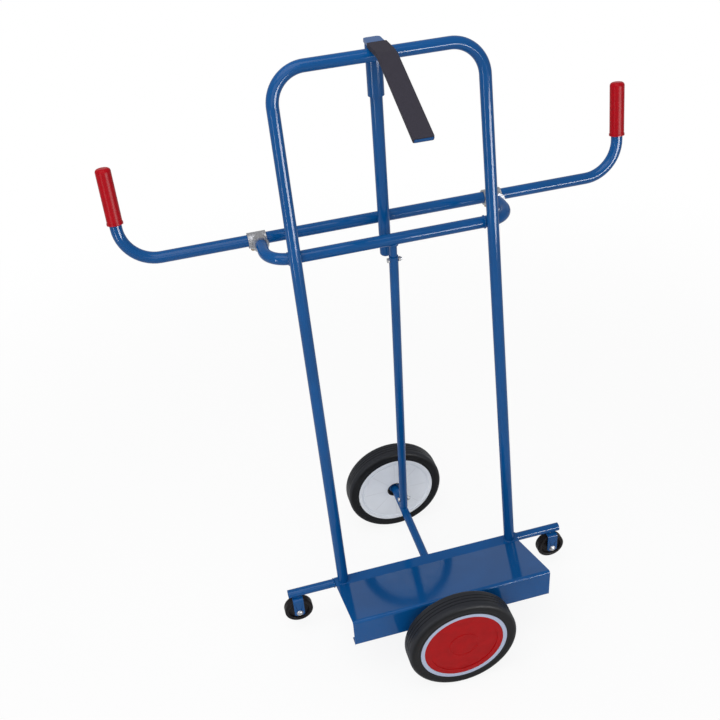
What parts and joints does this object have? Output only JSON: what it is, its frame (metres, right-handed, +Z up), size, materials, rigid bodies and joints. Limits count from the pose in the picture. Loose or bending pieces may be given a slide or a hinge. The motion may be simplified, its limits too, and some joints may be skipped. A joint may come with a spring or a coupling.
{
  "type": "panel cart",
  "caption": "Upright cart for carrying boards and panels: bent-tube frame leaning back over a sloped floor sheet, wheels on one axle line, turned-up handlebar and a sliding top hook.",
  "frame": {"origin": "on the ground, midway between the two big wheels and in the middle of the frame", "axes": "+X along the panel to the right as seen from the loading side, +Y from the loading side to the back, +Z up"},
  "size_m": [1.1356, 0.575, 1.3228],
  "materials": {
    "blue_paint": "gloss",
    "zinc": "zinc plated",
    "yellow_zinc": "yellow zinc plated",
    "tyre_rubber": "matt",
    "rim_plastic": "satin",
    "cap_red": "gloss",
    "black_nylon": "satin",
    "caster_rubber": "satin",
    "cast_clamp": "as cast",
    "grip_red": "satin",
    "sheath_rubber": "matt, textured"
  },
  "bodies": {
    "cart_frame": {"left_post": "blue_paint", "right_post": "blue_paint", "top_bar": "blue_paint", "floor_sheet": "blue_paint", "caster_bar": "blue_paint", "front_axle_tube": "blue_paint", "rear_axle_tube": "blue_paint", "axle_washers": "zinc", "axle_clips": "zinc", "left_caster_fork": "blue_paint", "right_caster_fork": "blue_paint", "caster_bolts": "zinc", "caster_nuts": "zinc", "bow": "blue_paint", "left_clamp": "cast_clamp", "right_clamp": "cast_clamp", "clamp_screws": "yellow_zinc", "rod_sleeve": "blue_paint", "strut_tube": "blue_paint", "upper_strut_stub": "blue_paint", "lower_strut_stub": "blue_paint", "strut_bolts": "zinc", "strut_nuts": "zinc"},
    "front_wheel": {"front_tyre": "tyre_rubber", "front_rim": "rim_plastic", "front_cap": "cap_red", "front_bush": "black_nylon"},
    "rear_wheel": {"rear_tyre": "tyre_rubber", "rear_rim": "rim_plastic", "rear_cap": "cap_red", "rear_bush": "black_nylon"},
    "left_caster": {"left_caster_wheel": "caster_rubber"},
    "right_caster": {"right_caster_wheel": "caster_rubber"},
    "handlebar": {"handlebar": "blue_paint", "left_grip": "grip_red", "right_grip": "grip_red"},
    "clamp_rod": {"clamp_rod": "blue_paint", "hook_strip": "blue_paint", "hook_sheath": "sheath_rubber"}
  },
  "joints": [
    {"name": "front_wheel_spin", "type": "hinge", "parent": "cart_frame", "child": "front_wheel", "pos_m": [0, -0.2625, 0.125], "axis": [0, 1, 0], "continuous": true},
    {"name": "rear_wheel_spin", "type": "hinge", "parent": "cart_frame", "child": "rear_wheel", "pos_m": [0, 0.2625, 0.125], "axis": [0, 1, 0], "continuous": true},
    {"name": "left_caster_spin", "type": "hinge", "parent": "cart_frame", "child": "left_caster", "pos_m": [-0.324, -0.019, 0.072], "axis": [0, 1, 0], "continuous": true},
    {"name": "right_caster_spin", "type": "hinge", "parent": "cart_frame", "child": "right_caster", "pos_m": [0.324, -0.019, 0.072], "axis": [0, 1, 0], "continuous": true},
    {"name": "handlebar_turn", "type": "hinge", "parent": "cart_frame", "child": "handlebar", "pos_m": [0.008, 0.235, 0.929], "axis": [1, 0, 0], "range_deg": [-90, 90]},
    {"name": "rod_slide", "type": "slide", "parent": "cart_frame", "child": "clamp_rod", "axis": [0, 0, 1], "range_m": [0, 0.3]}
  ]
}
